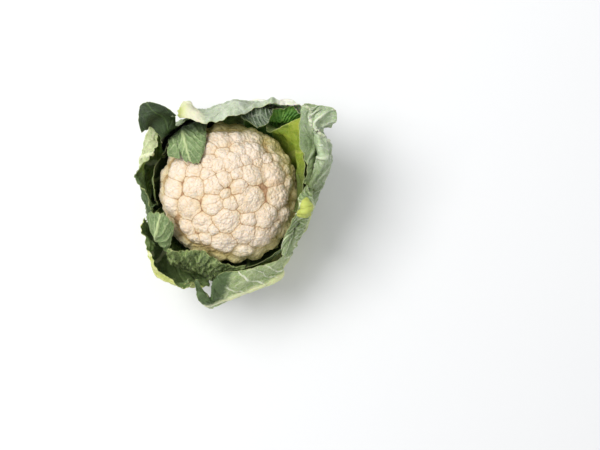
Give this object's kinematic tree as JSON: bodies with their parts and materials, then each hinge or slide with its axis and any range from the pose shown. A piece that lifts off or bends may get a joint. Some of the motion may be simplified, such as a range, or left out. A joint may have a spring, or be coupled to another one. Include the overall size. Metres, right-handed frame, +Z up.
{
  "type": "cauliflower",
  "caption": "Whole cauliflower head on its cut stalk, standing upright, wrapped in curled, trimmed green leaves.",
  "frame": {"origin": "middle of the stalk's flat cut face, which the cauliflower stands on", "axes": "+Z up along the stalk towards the crown of the head; +X towards the tall grey-green leaf (leaf_right); +Y towards the pale leaf folded over the head (leaf_top)"},
  "size_m": [0.2158, 0.2277, 0.1516],
  "materials": {
    "stalk": "moist, slightly waxy plant stem",
    "curd": "matte, fine-grained cream buds",
    "outer_leaf": "waxy leaf, pale grey-green outside, dark green inside",
    "middle_leaf": "waxy leaf, mid green",
    "inner_leaf": "tender leaf, yellow-green"
  },
  "bodies": {
    "root": {"stalk": "stalk", "curd": "curd", "leaf_right": "outer_leaf", "leaf_top": "outer_leaf", "leaf_left": "outer_leaf", "leaf_lower_left": "outer_leaf", "leaf_bottom": "outer_leaf", "middle_leaf_right": "middle_leaf", "middle_leaf_upper_right": "middle_leaf", "middle_leaf_upper_left": "middle_leaf", "middle_leaf_left": "middle_leaf", "middle_leaf_bottom": "middle_leaf", "inner_leaf_upper_right": "inner_leaf", "inner_leaf_upper_left": "inner_leaf", "inner_leaf_left": "inner_leaf", "inner_leaf_lower_left": "inner_leaf", "inner_leaf_bottom": "inner_leaf"}
  },
  "joints": []
}
